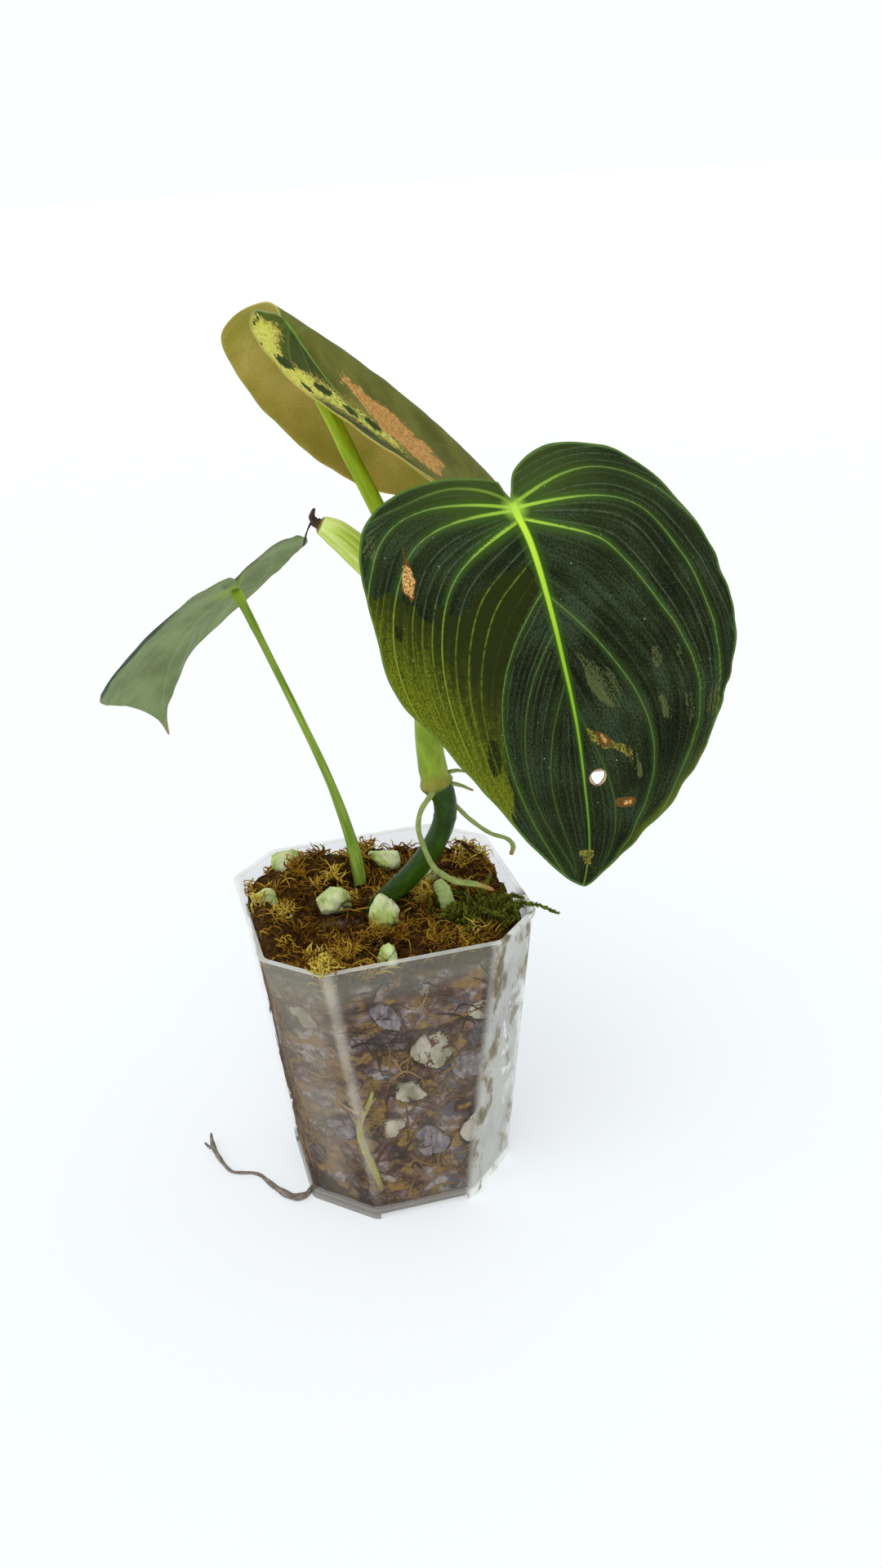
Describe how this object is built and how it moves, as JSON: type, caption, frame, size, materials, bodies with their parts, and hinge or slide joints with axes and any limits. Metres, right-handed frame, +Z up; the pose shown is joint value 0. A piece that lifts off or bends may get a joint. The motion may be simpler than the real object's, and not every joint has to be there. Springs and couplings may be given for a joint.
{
  "type": "potted black gold philodendron",
  "caption": "Young velvet-leaved climbing philodendron with heart-shaped leaves in a clear square nursery pot.",
  "frame": {"origin": "middle of the pot's flat base pad, on the surface that the pot stands on", "axes": "+Z up, X and Y square to the flat sides of the pot, -Y towards the side with the big front leaf"},
  "size_m": [0.1636, 0.1818, 0.2783],
  "materials": {
    "clear_pot": "frosted, see-through film",
    "brown_moss": "dry, fibrous and matt",
    "living_moss": "damp, fine and matt",
    "pumice": "rough and chalky",
    "bark": "rough and greyed",
    "stem_skin": "smooth, slightly waxy",
    "stalk_skin": "smooth, slightly waxy",
    "sheath_skin": "smooth, faintly striped",
    "dried_tip": "dry and papery",
    "root_skin": "soft and matt",
    "dry_root": "dry and cracked",
    "velvet_blade": "velvet with a soft sheen",
    "variegated_blade": "velvet with yellow and salmon patches",
    "blade_underside": "soft and matt"
  },
  "bodies": {
    "root": {"pot": "clear_pot", "pumice_1": "pumice", "pumice_2": "pumice", "pumice_3": "pumice", "pumice_4": "pumice", "pumice_5": "pumice", "pumice_6": "pumice", "pumice_7": "pumice", "pumice_8": "pumice", "pumice_9": "pumice", "pumice_10": "pumice", "pumice_11": "pumice", "pumice_12": "pumice", "pumice_13": "pumice", "bark_1": "bark", "bark_2": "bark", "bark_3": "bark", "bark_4": "bark", "bark_5": "bark", "bark_6": "bark", "bark_7": "bark", "green_moss": "living_moss", "moss_mix": "brown_moss", "stem": "stem_skin", "stalk_a": "stalk_skin", "stalk_b": "stalk_skin", "stalk_c": "stalk_skin", "growth_sheath": "sheath_skin", "dry_tip": "dried_tip", "aerial_root_1": "root_skin", "aerial_root_2": "root_skin", "aerial_root_3": "root_skin", "aerial_root_4": "root_skin", "root_stub": "root_skin", "pot_root": "root_skin", "stray_root": "dry_root", "leaf_a": "velvet_blade", "leaf_b": "variegated_blade", "leaf_c": "blade_underside"}
  },
  "joints": []
}
